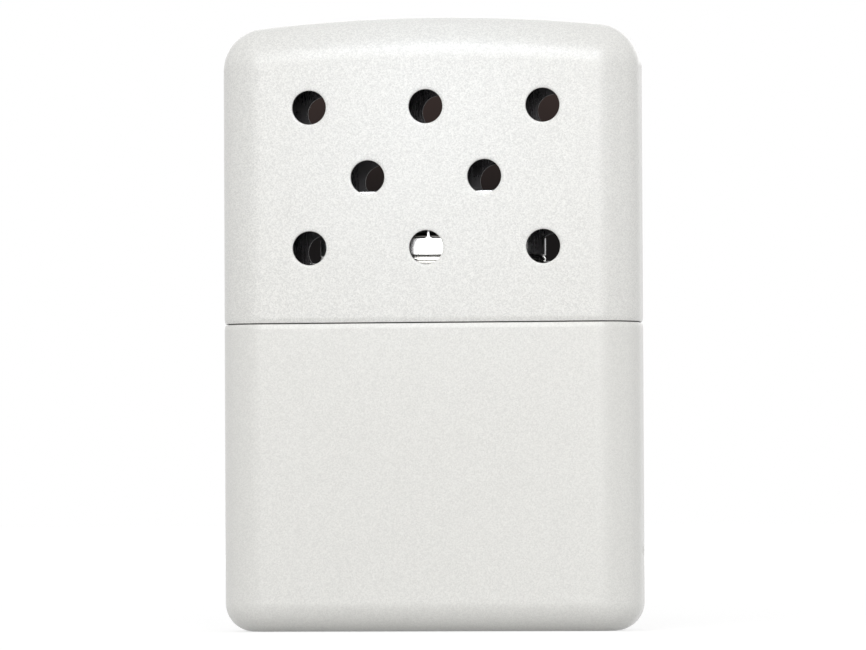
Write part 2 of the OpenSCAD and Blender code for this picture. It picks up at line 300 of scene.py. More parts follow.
def plated(name, colour, rough_low, rough_high, seam=None):
    """Plated sheet: drawn marks, faint stains, slight waves, and painted shade round the height seam."""
    mat, n, shader, place = new_material(name)
    drawn = n.noise(n.vector("MULTIPLY", place, (1.0, 1.0, DRAWN_STRETCH)), DRAWN_SCALE, 3.0, 0.6)
    stain = n.noise(place, STAIN_SCALE, 4.0, 0.6)
    shader.inputs["Metallic"].default_value = 1.0
    tint = n.ramp(stain.outputs["Fac"], 0.35, 0.75, 1.0, 0.9)
    marks = n.math("MULTIPLY", drawn.outputs["Fac"], DRAWN_SHARE)
    both = n.math("MULTIPLY_ADD", stain.outputs["Fac"], STAIN_SHARE, marks)
    rough = n.ramp(both, 0.3, 0.7, rough_low, rough_high)
    # Painted shade: a band round the seam height is darkened and made rougher, where the narrow gap
    # between the case halves lies in shade.
    if seam is not None:
        split = n.add("ShaderNodeSeparateXYZ")
        n.put(split.inputs[0], place)
        away = n.math("ABSOLUTE", n.math("SUBTRACT", split.outputs["Z"], seam))
        seam_shading = n.ramp(away, SEAM_SHADE_REACH * 0.6, SEAM_SHADE_REACH, SEAM_SHADE_TONE, 1.0)
        tint = n.math("MULTIPLY", tint, seam_shading)
        rough = n.math("MAXIMUM", rough, n.math("SUBTRACT", SEAM_SHADE_ROUGH, seam_shading))
    n.put(shader.inputs["Base Color"], n.vector("SCALE", colour, scale=tint))
    n.put(shader.inputs["Roughness"], rough)
    broad = n.noise(place, WAVE_SCALE, 2.0, 0.5)
    normal = n.bump(broad.outputs["Fac"], WAVE * 10 * MM, 0.3)
    n.put(shader.inputs["Normal"], n.bump(drawn.outputs["Fac"], WAVE * MM, 0.25, normal))
    return mat


def fibrous(name, dark, light, scale, depth, rough=0.95, sheen=0.15):
    """Matted fibre: fine crossing strands over a soft mottle."""
    mat, n, shader, place = new_material(name)
    strands = []
    for k, stretch in enumerate(((1.0, 0.12, 0.5), (0.12, 1.0, 0.5), (0.5, 0.5, 0.12))):
        bent = n.noise(place, scale * 0.12, 2.0)
        shift = n.vector("SCALE", bent.outputs["Color"], scale=(0.7 + 0.2 * k) * MM)
        shifted = n.vector("ADD", place, shift)
        strands.append(n.noise(n.vector("MULTIPLY", shifted, stretch), scale, 3.0, 0.65).outputs["Fac"])
    mesh = n.math("MAXIMUM", n.math("MAXIMUM", strands[0], strands[1]), strands[2])
    mottle = n.noise(place, scale * 0.08, 4.0, 0.6)
    level = n.math("MULTIPLY_ADD", mesh, 0.7, n.math("MULTIPLY", mottle.outputs["Fac"], 0.3))
    n.put(shader.inputs["Base Color"], n.mix(n.ramp(level, 0.42, 0.68), dark, light))
    shader.inputs["Roughness"].default_value = rough
    shader.inputs["Sheen Weight"].default_value = sheen
    shader.inputs["Sheen Roughness"].default_value = 0.5
    n.put(shader.inputs["Normal"], n.bump(level, depth, 0.9))
    return mat


# ---------------------------------------------------------------- mesh helpers

def object_of(name, bm, *materials):
    mesh = bpy.data.meshes.new(name)
    bm.to_mesh(mesh)
    bm.free()
    for mat in materials:
        mesh.materials.append(mat)
    obj = bpy.data.objects.new(name, mesh)
    bpy.context.scene.collection.objects.link(obj)
    return obj


class Skin:
    """A mesh whose vertices carry the true surface normal, so flat and round parts meet smoothly."""

    def __init__(self):
        self.points = []
        self.faces = []
        self.normals = []
        self.slots = []

    def ring(self, points):
        """Adds points and returns their numbers."""
        first = len(self.points)
        self.points.extend(Vector(p) for p in points)
        return list(range(first, len(self.points)))

    def face(self, ids, normals, slot):
        self.faces.append(tuple(ids))
        self.normals.append([Vector(v) for v in normals])
        self.slots.append(slot)

    def strip(self, ring_a, ring_b, normals_a, normals_b, slot, closed=True):
        """Quads between two rings with the same number of points."""
        count = len(ring_a)
        for i in range(count if closed else count - 1):
            j = (i + 1) % count
            self.face(
                (ring_a[i], ring_a[j], ring_b[j], ring_b[i]),
                (normals_a[i], normals_a[j], normals_b[j], normals_b[i]),
                slot,
            )

    def flat(self, loops, normal, slot):
        """A flat region inside the first loop, with the other loops as its holes."""
        bm = bmesh.new()
        edges = []
        back = {}
        for loop in loops:
            verts = [bm.verts.new(self.points[i]) for i in loop]
            for v, i in zip(verts, loop):
                back[v] = i
            edges += [bm.edges.new((verts[k], verts[(k + 1) % len(verts)])) for k in range(len(verts))]
        bmesh.ops.triangle_fill(bm, use_beauty=True, use_dissolve=False, edges=edges)
        normal = Vector(normal)
        for f in bm.faces:
            f.normal_update()
            ids = [back[v] for v in f.verts]
            if f.normal.dot(normal) < 0:
                ids.reverse()
            self.face(ids, [normal] * 3, slot)
        bm.free()

    def build(self, name, *materials):
        """The object, with points that stand in one place made one."""
        first, same = {}, []
        for i, p in enumerate(self.points):
            same.append(first.setdefault(tuple(round(v / WELD) for v in p), i))
        faces, normals, slots = [], [], []
        for ids, face_normals, slot in zip(self.faces, self.normals, self.slots):
            kept = [k for k in range(len(ids)) if same[ids[k]] != same[ids[k - 1]]]
            if len(kept) < 3:
                continue
            ids, face_normals = [same[ids[k]] for k in kept], [face_normals[k] for k in kept]
            a, b, c = (self.points[i] for i in ids[:3])
            if (b - a).cross(c - b).dot(sum(face_normals, Vector())) < 0:
                ids.reverse()
                face_normals.reverse()
            faces.append(ids)
            normals += [tuple(v.normalized()) for v in face_normals]
            slots.append(slot)
        used = sorted({i for ids in faces for i in ids})
        number = {i: k for k, i in enumerate(used)}
        mesh = bpy.data.meshes.new(name)
        mesh.from_pydata([self.points[i] for i in used], [], [[number[i] for i in ids] for ids in faces])
        for mat in materials:
            mesh.materials.append(mat)
        for poly, slot in zip(mesh.polygons, slots):
            poly.material_index = slot
            poly.use_smooth = True
        mesh.update()
        mesh.normals_split_custom_set(normals)
        obj = bpy.data.objects.new(name, mesh)
        bpy.context.scene.collection.objects.link(obj)
        return obj


def plan_loop(inset):
    """The case's outline seen from above, inset on all sides: (x, y, normal) counter-clockwise."""
    r = max(EDGE_R - inset, LEAST_CORNER_R)
    hx, hy = BODY_W / 2 - inset - r, BODY_T / 2 - inset - r
    loop = []
    for quarter, (cx, cy) in enumerate(((hx, hy), (-hx, hy), (-hx, -hy), (hx, -hy))):
        for k in range(ARC_STEPS + 1):
            a = math.pi / 2 * (quarter + k / ARC_STEPS)
            n = Vector((math.cos(a), math.sin(a), 0.0))
            loop.append((cx + r * n.x, cy + r * n.y, n))
    return loop


def level_ring(skin, inset, z):
    """A ring on the outline at height z, and its outward normals."""
    loop = plan_loop(inset)
    return skin.ring((x, y, z) for x, y, _ in loop), [n for _, _, n in loop]


def tilted(normals, up, out=None):
    """The outward normals turned towards +Z: up is the sine of the turn, and out its cosine."""
    out = math.sqrt(max(0.0, 1 - up * up)) if out is None else out
    return [n * out + Vector((0, 0, up)) for n in normals]


def rounded_levels(skin, inset, z, radius, start, end, slot, steps, inward=False):
    """Rings round an edge's radius, as the angle of its normal goes from start to end, in degrees.

    inset and z are those of the arc's centre line: the outline at normal angle 0 is inset - radius.
    """
    rings = []
    for k in range(steps + 1):
        a = math.radians(start + (end - start) * k / steps)
        c, s = math.cos(a), math.sin(a)
        sign = -1 if inward else 1
        ids, normals = level_ring(skin, inset - sign * radius * c, z + radius * s)
        rings.append((ids, tilted(normals, s, c * sign)))
    for (a, na), (b, nb) in zip(rings, rings[1:]):
        skin.strip(a, b, na, nb, slot)
    return rings[0], rings[-1]


def rim(skin, z_end, up):
    """The outer rim of a case half: a roll at height z_end and the gentle fall towards it.

    up is 1 where the rim is above the case half and -1 where it is below. Returns the ring at the
    end of the roll and the one where the plain side begins.
    """
    fall = math.tan(RIM_TILT) * RIM_FALL_H * 2 / 3
    tilt = math.degrees(RIM_TILT)
    inset = fall + RIM_R * math.cos(RIM_TILT)
    end, foot = rounded_levels(
        skin, inset, z_end - up * RIM_R, RIM_R, up * 90, up * tilt, 0, LIP_STEPS)
    z = z_end - up * RIM_R * (1 - math.sin(RIM_TILT))
    # The slope grows with the root of t, and the fall with its power 1.5.
    last = foot
    for k in range(FALL_STEPS):
        t = 1 - (k + 1) / FALL_STEPS
        ids, normals = level_ring(skin, fall * t ** 1.5, z - up * RIM_FALL_H * (1 - t))
        step = (ids, tilted(normals, up * math.sin(RIM_TILT * t ** 0.5)))
        skin.strip(last[0], step[0], last[1], step[1], 0)
        last = step
    return end, last


# ---------------------------------------------------------------- the case

def vent_places():
    for row, count in enumerate((3, 2, 3)):
        for i in range(count):
            yield (i - (count - 1) / 2) * VENT_PITCH, VENT_ROW_Z + (row - 1) * VENT_ROW_PITCH


def vent_profile():
    """A vent's edge from the face inwards: (radius, depth, normal's radial and outward part, slot).

    The face falls gently towards the hole and then rolls into it.
    """
    fall = VENT_FALL_W - VENT_LIP * (1 - math.sin(EDGE_TILT))
    drop = math.tan(EDGE_TILT) * fall / 2
    profile = []
    for k in range(FALL_STEPS):
        t = k / FALL_STEPS
        profile.append((VENT_R + VENT_FALL_W - fall * t, drop * t * t, -math.tan(EDGE_TILT) * t, 1.0, 0))
    for k in range(LIP_STEPS + 1):
        a = EDGE_TILT + (math.pi / 2 - EDGE_TILT) * k / LIP_STEPS
        depth = drop + VENT_LIP * (math.cos(EDGE_TILT) - math.cos(a))
        profile.append((VENT_R + VENT_LIP * (1 - math.sin(a)), depth, -math.sin(a), math.cos(a), 0))
    # The wall and the inner roll of each vent take slot 2, the near-black painted shade.
    for k in range(LIP_STEPS + 1):
        a = math.pi / 2 * (1 - k / LIP_STEPS)
        depth = SHEET_T - VENT_LIP_IN * (1 - math.cos(a))
        profile.append((VENT_R + VENT_LIP_IN * (1 - math.sin(a)), depth, -math.sin(a), -math.cos(a), 2))
    return profile


def vent_rings(skin, side):
    """The edges and the wall of every vent through one face; side is -1 front, 1 back."""
    outer, inner = [], []
    turns = [2 * math.pi * k / VENT_STEPS for k in range(VENT_STEPS)]
    for cx, cz in vent_places():
        last = None
        for radius, depth, n_r, n_out, slot in vent_profile():
            y = side * (BODY_T / 2 - depth)
            ids = skin.ring((cx + radius * math.cos(t), y, cz + radius * math.sin(t)) for t in turns)
            normals = [Vector((n_r * math.cos(t), side * n_out, n_r * math.sin(t))) for t in turns]
            if last:
                skin.strip(last[0], ids, last[1], normals, slot)
            else:
                outer.append(ids)
            last = (ids, normals)
        inner.append(last[0])
    return outer, inner


def lid_path(z_low):
    """The edge of the lid's core, seen from the front: (x, z, normal) from low right to low left."""
    path = [(EDGE_X, z_low, 0.0), (EDGE_X, CORNER_Z, 0.0)]
    tip = math.pi / 2 - CROWN_ANGLE
    path += [(EDGE_X, CORNER_Z, tip * k / ARC_STEPS) for k in range(1, ARC_STEPS + 1)]
    for k in range(1, CROWN_STEPS):
        a = tip + 2 * CROWN_ANGLE * k / CROWN_STEPS
        path.append((CORE_R * math.cos(a), CROWN_Z + CORE_R * math.sin(a), a))
    path += [(-EDGE_X, CORNER_Z, math.pi - tip * (1 - k / ARC_STEPS)) for k in range(ARC_STEPS + 1)]
    path.append((-EDGE_X, z_low, math.pi))
    return path


def dome(skin, inset, z_low, inward, slot):
    """The lid's rounded skin from its rim over the crown, on the outside or the inside.

    Returns the front and back edges of the flat faces, each as numbers from low right to low left.
    """
    r = EDGE_R - inset
    section = []
    for side, angles in ((-1, range(ARC_STEPS + 1)), (1, range(ARC_STEPS, -1, -1))):
        for k in angles:
            a = math.pi / 2 * (1 - k / ARC_STEPS)
            c, s = math.cos(a), math.sin(a)
            section.append((r * c, side * (CORE_Y + r * s), c, side * s))
    sign = -1 if inward else 1
    rows = []
    for x, z, a in lid_path(z_low):
        nx, nz = math.cos(a), math.sin(a)
        ids = skin.ring((x + out * nx, y, z + out * nz) for out, y, _, _ in section)
        normals = [Vector((no * nx, ny, no * nz)) * sign for _, _, no, ny in section]
        rows.append((ids, normals))
    for (a, na), (b, nb) in zip(rows, rows[1:]):
        skin.strip(a, b, na, nb, slot, closed=False)
    return [ids[0] for ids, _ in rows], [ids[-1] for ids, _ in rows]


def without_repeats(skin, ids):
    """ids less those that stand where the one before them stands."""
    kept = []
    for i in ids:
        if not kept or (skin.points[i] - skin.points[kept[-1]]).length > WELD:
            kept.append(i)
    if (skin.points[kept[0]] - skin.points[kept[-1]]).length < WELD:
        kept.pop()
    return kept


def make_lid(paint, inside, cut):
    """Upper case: the drawn shell with its crown, its vents and a plated inside; the inside and the
    vents' throats are painted dark as shade.
    """
    skin = Skin()
    outer_holes, inner_holes = {}, {}
    for side in (-1, 1):
        outer_holes[side], inner_holes[side] = vent_rings(skin, side)
    foot, side_low = rim(skin, LID_LOW, -1)
    z_side = skin.points[side_low[0][0]].z
    for inset, z_low, inward, slot, holes in (
        (0.0, z_side, False, 0, outer_holes),
        (SHEET_T, LID_LOW + RIM_IN_R, True, 1, inner_holes),
    ):
        front, back = dome(skin, inset, z_low, inward, slot)
        sign = -1 if inward else 1
        for side, edge in ((-1, front), (1, back)):
            loop = without_repeats(skin, edge)
            skin.flat([loop] + holes[side], (0, side * sign, 0), slot)
    inner_foot, _ = rounded_levels(
        skin, SHEET_T - RIM_IN_R, LID_LOW + RIM_IN_R, RIM_IN_R, -90, 0, 1, LIP_STEPS, inward=True)
    skin.strip(foot[0], inner_foot[0], foot[1], inner_foot[1], 1)
    return skin.build("lid_case", paint, inside, cut)


def make_tank(paint, inside):
    """Lower case: the drawn shell with its rounded base and the two small dimples."""
    skin = Skin()
    top, side_top = rim(skin, TANK_HIGH, 1)
    side_low, foot = rounded_levels(skin, BASE_R, BASE_R, BASE_R, 0, -90, 0, ARC_STEPS)
    count = len(side_top[0])
    # The straight stretches of the outline on the narrow sides, each with its dimple.
    flats = {ARC_STEPS * 4 + 3: 1, ARC_STEPS * 2 + 1: -1}
    for i in range(count):
        j = (i + 1) % count
        if i in flats:
            side = flats[i]
            loop = [side_top[0][i], side_top[0][j], side_low[0][j], side_low[0][i]]
            skin.flat([loop, dimple(skin, side)], (side, 0, 0), 0)
        else:
            skin.face((side_top[0][i], side_top[0][j], side_low[0][j], side_low[0][i]),
                      (side_top[1][i], side_top[1][j], side_low[1][j], side_low[1][i]), 0)
    skin.flat([without_repeats(skin, foot[0])], (0, 0, -1), 0)
    # The inside takes slot 1, the plating darkened as painted shade.
    inner_top, inner_side = rounded_levels(
        skin, SHEET_T - RIM_IN_R, TANK_HIGH - RIM_IN_R, RIM_IN_R, 90, 0, 1, LIP_STEPS, inward=True)
    skin.strip(top[0], inner_top[0], top[1], inner_top[1], 1)
    inner_r = BASE_R - SHEET_T
    inner_low, floor = rounded_levels(
        skin, SHEET_T + inner_r, SHEET_T + inner_r, -inner_r, 0, 90, 1, ARC_STEPS // 2)
    inner_normals = [-n for n in inner_low[1]]
    skin.strip(inner_side[0], inner_low[0], inner_side[1], inner_normals, 1)
    skin.flat([without_repeats(skin, floor[0])], (0, 0, 1), 1)
    return skin.build("tank_case", paint, inside)


def dimple(skin, side):
    """A small round dent in a narrow side, and the ring where it meets the side."""
    ball, depth, lip = DIMPLE_BALL_R, DIMPLE_DEPTH, DIMPLE_LIP
    reach = math.sqrt(ball * ball - (ball - depth) ** 2)
    x_face = side * BODY_W / 2
    profile = [(reach + lip, 0.0, 0.0)]
    slope = math.asin(reach / ball)
    for k in range(1, DIMPLE_LIP_RINGS + 1):
        t = k / DIMPLE_LIP_RINGS
        sink = lip * DIMPLE_LIP_SINK * t * t * math.tan(slope)
        profile.append((reach + lip * (1 - t), sink, slope * t))
    start = profile[-1][1]
    for k in range(1, DIMPLE_RINGS):
        a = slope * (1 - k / DIMPLE_RINGS)
        profile.append((ball * math.sin(a), start + ball * (math.cos(a) - math.cos(slope)), a))
    last, first = None, None
    for radius, sink, tilt in profile:
        angles = [2 * math.pi * k / DIMPLE_POINTS for k in range(DIMPLE_POINTS)]
        x = x_face - side * sink
        ids = skin.ring((x, radius * math.cos(t), DIMPLE_Z + radius * math.sin(t)) for t in angles)
        out, inward = side * math.cos(tilt), -math.sin(tilt)
        normals = [Vector((out, inward * math.cos(t), inward * math.sin(t))) for t in angles]
        if last:
            skin.strip(last[0], ids, last[1], normals, 0)
        else:
            first = ids
        last = (ids, normals)
    skin.flat([last[0]], (side, 0, 0), 0)
    return first


# ---------------------------------------------------------------- the plated pieces, in millimetres

def loop_points(w, d, corner, z):
    """A rounded rectangle at height z, always with the same number of points."""
    hx, hy = w / 2 - corner, d / 2 - corner
    loop = []
    for quarter, (cx, cy) in enumerate(((hx, hy), (-hx, hy), (-hx, -hy), (hx, -hy))):
        for k in range(PLATE_ARC_STEPS + 1):
            a = math.pi / 2 * (quarter + k / PLATE_ARC_STEPS)
            loop.append(Vector((cx + corner * math.cos(a), cy + corner * math.sin(a), z)))
    return loop


def bridge(bm, a, b):
    """Quads between two rings of vertices with the same number of points."""
    count = len(a)
    for i in range(count):
        bm.faces.new((a[i], a[(i + 1) % count], b[(i + 1) % count], b[i]))


def ring_mesh(loops, closed):
    """Faces from each loop to the next. closed joins last to first; otherwise both are capped."""
    bm = bmesh.new()
    rings = [[bm.verts.new(p) for p in loop] for loop in loops]
    for a, b in zip(rings, rings[1:] + (rings[:1] if closed else [])):
        bridge(bm, a, b)
    if not closed:
        bm.faces.new(rings[0])
        bm.faces.new(rings[-1])
    bmesh.ops.remove_doubles(bm, verts=bm.verts, dist=NEAR_MM)
    outward(bm)
    return bm


def rounded_top(w, d, corner, z, radius):
    """Loops over a rounded upper edge, from the side to the flat top at height z."""
    loops = []
    for k in range(PLATE_EDGE_STEPS + 1):
        a = math.pi / 2 * k / PLATE_EDGE_STEPS
        inset = radius * (1 - math.cos(a))
        level = z - radius * (1 - math.sin(a))
        loops.append(loop_points(w - 2 * inset, d - 2 * inset, corner - inset, level))
    return loops


def add_prism(bm, outline, low, high, turn):
    """A closed prism: outline's points (u, v) swept from low to high, and placed by turn(u, v, t)."""
    rings = [[bm.verts.new(turn(u, v, t)) for u, v in outline] for t in (low, high)]
    bridge(bm, *rings)
    bm.faces.new(rings[0])
    bm.faces.new(rings[1])


def rounded_outline(w, h, corner, steps):
    """A rounded rectangle w by h, as points (u, v)."""
    points = []
    for quarter, (sx, sy) in enumerate(((1, 1), (-1, 1), (-1, -1), (1, -1))):
        for k in range(steps + 1):
            a = math.pi / 2 * (quarter + k / steps)
            u = sx * (w / 2 - corner) + corner * math.cos(a)
            v = sy * (h / 2 - corner) + corner * math.sin(a)
            if not points or abs(points[-1][0] - u) + abs(points[-1][1] - v) > NEAR_MM:
                points.append((u, v))
    if abs(points[0][0] - points[-1][0]) + abs(points[0][1] - points[-1][1]) < NEAR_MM:
        points.pop()
    return points


def finish_metal(name, bm, bevel, mat, cutters=None):
    """Cuts the openings, breaks the sharp edges, and returns the piece in metres."""
    obj = object_of(name, bm, mat)
    if cutters is not None:
        outward(cutters)
        tool = object_of(name + "_cut", cutters)
        cut = obj.modifiers.new("cut", "BOOLEAN")
        cut.object = tool
        cut.solver = "EXACT"
    edge = obj.modifiers.new("edge", "BEVEL")
    edge.width = bevel
    edge.segments = 3
    edge.limit_method = "ANGLE"
    edge.angle_limit = math.radians(40)
    edge.use_clamp_overlap = False
    for poly in obj.data.polygons:
        poly.use_smooth = True
    even = obj.modifiers.new("even", "WEIGHTED_NORMAL")
    even.keep_sharp = False
    even.weight = 100
    bpy.context.view_layer.update()
    mesh = bpy.data.meshes.new_from_object(obj.evaluated_get(bpy.context.evaluated_depsgraph_get()))
    for poly in mesh.polygons:
        poly.use_smooth = True
    obj.modifiers.clear()
    obj.data = mesh
    mesh.transform(Matrix.Scale(MM, 4))
    if cutters is not None:
        bpy.data.objects.remove(tool)
    return obj


def make_burner(mat):
    """Cage of the burner: a drawn cup with windows round its side and slots in its top."""
    w, d, r = BURNER_W, BURNER_T, BURNER_T / 2
    t = PLATE_T
    outer = rounded_top(w, d, r, BURNER_TOP, BURNER_EDGE_R)
    inner = rounded_top(w - 2 * t, d - 2 * t, r - t, BURNER_TOP - t, BURNER_IN_R)
    low = [loop_points(w - 2 * i, d - 2 * i, r - i, BURNER_Z) for i in (0.0, t)]
    bm = ring_mesh(outer[::-1] + low + inner, False)
    cut = bmesh.new()
    middle_z = WINDOW_Z + WINDOW_H / 2
    opening = rounded_outline(WINDOW_PITCH - WINDOW_BAR_W, WINDOW_H, WINDOW_R, 5)
    for i in range(WINDOW_COUNT):
        x = (i - (WINDOW_COUNT - 1) / 2) * WINDOW_PITCH
        for side in (-1, 1):
            add_prism(cut, opening, side * (r - 2 * t), side * (r + t),
                      lambda u, v, s, x=x: (x + u, s, middle_z + v))
    opening = rounded_outline(END_WINDOW_W, WINDOW_H, WINDOW_R, 5)
    for side in (-1, 1):
        add_prism(cut, opening, side * (w / 2 - 3 * t), side * (w / 2 + t),
                  lambda u, v, s: (s, u, middle_z + v))
    length = d - 2 * TOP_RIM_W
    opening = rounded_outline(TOP_SLOT_W, length, TOP_SLOT_W / 2 - LEAST_FLAT, 8)
    for i in range(-(TOP_SLOTS // 2), TOP_SLOTS // 2 + 1):
        x = i * TOP_SLOT_PITCH
        add_prism(cut, opening, BURNER_TOP - 2 * t, BURNER_TOP + t,
                  lambda u, v, s, x=x: (x + u, v, s))
    return finish_metal("burner_cage", bm, BURNER_BEVEL, mat, cut)


def make_neck(mat):
    """Neck round the filling mouth: a tube with a flange under the plate and a shoulder on it."""
    w, d = BURNER_W, BURNER_T
    tube_in, mouth_in = PLATE_T + BURNER_FIT, 2 * PLATE_T + BURNER_FIT
    section = [
        (mouth_in, NECK_Z), (tube_in, NECK_Z), (tube_in, COLLAR_TOP - 2 * PLATE_T),
        (tube_in - FLANGE_W, COLLAR_TOP - 2 * PLATE_T), (tube_in - FLANGE_W, COLLAR_TOP - PLATE_T),
        (tube_in, COLLAR_TOP - PLATE_T), (tube_in, COLLAR_TOP), (0.0, COLLAR_TOP),
    ]
    for k in range(1, PLATE_EDGE_STEPS + 1):
        a = math.pi * k / PLATE_EDGE_STEPS
        z = COLLAR_TOP + FOOT_H + GROOVE_H * k / PLATE_EDGE_STEPS
        section.append((GROOVE_DEPTH * math.sin(a), z))
    for k in range(PLATE_EDGE_STEPS + 1):
        a = math.pi / 2 * k / PLATE_EDGE_STEPS
        section.append((SHOULDER_R * (1 - math.cos(a)), SEAT_Z - SHOULDER_R * (1 - math.sin(a))))
    section += [(tube_in, SEAT_Z), (tube_in, NECK_TOP), (mouth_in, NECK_TOP)]
    loops = [loop_points(w - 2 * i, d - 2 * i, d / 2 - i, z) for i, z in section]
    return finish_metal("neck_tube", ring_mesh(loops, True), THIN_BEVEL, mat)


def make_collar(mat):
    """Collar that the lid grips, with the plate that closes the tank round the neck."""
    w, d, r, t = COLLAR_W, COLLAR_D, COLLAR_R, PLATE_T
    outer = rounded_top(w, d, r, COLLAR_TOP, COLLAR_EDGE_R)
    inner = rounded_top(w - 2 * t, d - 2 * t, r - t, COLLAR_TOP - t, COLLAR_EDGE_R - t)
    inset = PLATE_T + BURNER_FIT - NECK_FIT
    hole = [loop_points(BURNER_W - 2 * inset, BURNER_T - 2 * inset, BURNER_T / 2 - inset, z)
            for z in (COLLAR_TOP, COLLAR_TOP - t)]
    low = [loop_points(w - 2 * i, d - 2 * i, r - i, COLLAR_Z) for i in (t, 0.0)]
    loops = low[1:] + outer + hole + inner[::-1] + low[:1]
    return finish_metal("collar_cup", ring_mesh(loops, True), COLLAR_BEVEL, mat)


def make_retainer(mat):
    """Ring that closes the cage from below and carries the lower gauze."""
    w, d = BURNER_W - 2 * (PLATE_T + CAGE_FIT), BURNER_T - 2 * (PLATE_T + CAGE_FIT)
    low, high = RETAINER_Z, RETAINER_Z + RETAINER_H
    section = ((0.0, low), (0.0, high), (RETAINER_W, high), (RETAINER_W, low))
    loops = [loop_points(w - 2 * i, d - 2 * i, d / 2 - i, z) for i, z in section]
    return finish_metal("retaining_ring", ring_mesh(loops, True), THIN_BEVEL, mat)


# ---------------------------------------------------------------- soft and woven pieces

def tube(bm, points, radius, across, sides=5):
    """A closed round tube along points; across is a direction that no part of it runs along."""
    rings = []
    for k, p in enumerate(points):
        along = (points[min(k + 1, len(points) - 1)] - points[max(k - 1, 0)]).normalized()
        u = along.cross(across).normalized()
        v = along.cross(u)
        turns = [2 * math.pi * i / sides for i in range(sides)]
        rings.append([bm.verts.new(p + (u * math.cos(t) + v * math.sin(t)) * radius) for t in turns])
    for a, b in zip(rings, rings[1:]):
        bridge(bm, a, b)
    bm.faces.new(reversed(rings[0]))
    bm.faces.new(rings[-1])


def smooth(obj):
    for poly in obj.data.polygons:
        poly.use_smooth = True
    return obj


def outward(bm):
    bmesh.ops.recalc_face_normals(bm, faces=bm.faces)


def outline_points(w, d, corner, spacing):
    """Points of a rounded rectangle w by d at about the given spacing: (x, y, normal)."""
    hx, hy = w / 2 - corner, d / 2 - corner
    points = []
    for quarter, (cx, cy) in enumerate(((hx, hy), (-hx, hy), (-hx, -hy), (hx, -hy))):
        count = max(4, round(corner * math.pi / 2 / spacing))
        arc = []
        for k in range(count + 1):
            a = math.pi / 2 * (quarter + k / count)
            n = Vector((math.cos(a), math.sin(a), 0.0))
            arc.append((cx + corner * n.x, cy + corner * n.y, n))
        points += arc
        length = (2 * hx, 2 * hy)[quarter % 2]
        n = arc[-1][2]
        step = Vector((-n.y, n.x, 0.0))
        parts = round(length / spacing)
        for k in range(1, parts):
            p = Vector((arc[-1][0], arc[-1][1], 0)) + step * (length * k / parts)
            points.append((p.x, p.y, n))
    return points


class Batt:
    """A lumpy block of fibre inside a CAD node's box, as rings from its bottom to its top."""

    def __init__(self, node, corner, edge, spacing, lump, grain, seed):
        low, high = (Vector(v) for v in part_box(node))
        w, d, h = high - low
        corner = min(corner, d / 2 - 0.01 * MM)
        middle = (low + high) / 2
        loop = outline_points(w, d, corner, spacing)
        spine = (w - d) / 2
        levels = []
        inner = d / 2 - edge
        flat = max(2, round(inner / spacing))
        bend = max(2, round(math.pi / 2 * edge / spacing))
        for k in range(flat):
            levels.append((edge + inner * (1 - k / flat), 0.0, Vector((0, -1))))
        for k in range(bend):
            a = math.pi / 2 * k / bend
            c, s = math.cos(a), math.sin(a)
            levels.append((edge * (1 - s), edge * (1 - c), Vector((s, -c))))
        wall = max(2, round((h - 2 * edge) / spacing))
        for k in range(wall + 1):
            levels.append((0.0, edge + (h - 2 * edge) * k / wall, Vector((1, 0))))
        for inset, z, n in reversed(levels[:flat + bend]):
            levels.append((inset, h - z, Vector((n.x, -n.y))))
        shift = Vector((seed * 3.7, seed * 1.3, seed * 2.1))
        self.rows = []
        for inset, z, n in levels:
            share = 1 - inset / (d / 2)
            row = []
            for x, y, side in loop:
                centre = Vector((max(-spine, min(spine, x)), 0.0, 0.0))
                p = centre + (Vector((x, y, 0.0)) - centre) * share + Vector((0, 0, low.z + z))
                out = (side * n.x + Vector((0, 0, n.y))).normalized()
                q = p / grain + shift
                depth = 0.5 + 0.5 * noise.fractal(q, 0.9, 2.1, 4)
                dent = max(0.0, noise.noise(q * 0.35)) * 0.8
                p += Vector((middle.x, middle.y, 0.0)) - out * lump * max(0.0, min(1.4, depth + dent))
                row.append((p, out))
            self.rows.append(row)

    def at(self, row, column):
        """The surface's point and normal at a place between the rows and columns."""
        count = len(self.rows[0])
        i, j = int(row), int(math.floor(column))
        i = max(0, min(len(self.rows) - 2, i))
        fi, fj = row - i, column - j
        a, b = self.rows[i][j % count], self.rows[i][(j + 1) % count]
        c, d = self.rows[i + 1][j % count], self.rows[i + 1][(j + 1) % count]
        point = (a[0] * (1 - fj) + b[0] * fj) * (1 - fi) + (c[0] * (1 - fj) + d[0] * fj) * fi
        return point, (a[1] * (1 - fi) + c[1] * fi).normalized()

    def build(self, name, mat, strands, length, radius, seed, lift):
        """The closed block with fine strands matted into its surface."""
        rng = random.Random(seed)
        bm = bmesh.new()
        rings = [[bm.verts.new(p) for p, _ in row] for row in self.rows]
        count = len(rings[0])
        for a, b in zip(rings, rings[1:]):
            bridge(bm, a, b)
        for ring in (rings[0], rings[-1]):
            bmesh.ops.contextual_create(bm, geom=ring)
        tall = len(self.rows) - 1
        cell = (self.rows[tall // 2][0][0] - self.rows[tall // 2][1][0]).length
        for _ in range(strands):
            row, column = rng.uniform(1, tall - 1), rng.uniform(0, count)
            turn, bend = rng.uniform(0, 2 * math.pi), rng.uniform(-0.25, 0.25)
            steps = 12
            stride = rng.uniform(0.5, 1.0) * length / steps / cell
            points = []
            for k in range(steps):
                point, out = self.at(max(0.5, min(tall - 0.5, row)), column)
                points.append(point + out * (lift * math.sin(math.pi * k / (steps - 1))))
                row += math.sin(turn) * stride
                column += math.cos(turn) * stride
                turn += bend
            if min((a - b).length for a, b in zip(points, points[1:])) > radius * 0.5:
                across = self.at(max(0.5, min(tall - 0.5, row)), column)[1]
                tube(bm, points, radius, across + Vector((0.013, 0.017, 0.011)), 3)
        outward(bm)
        return smooth(object_of(name, bm, mat))


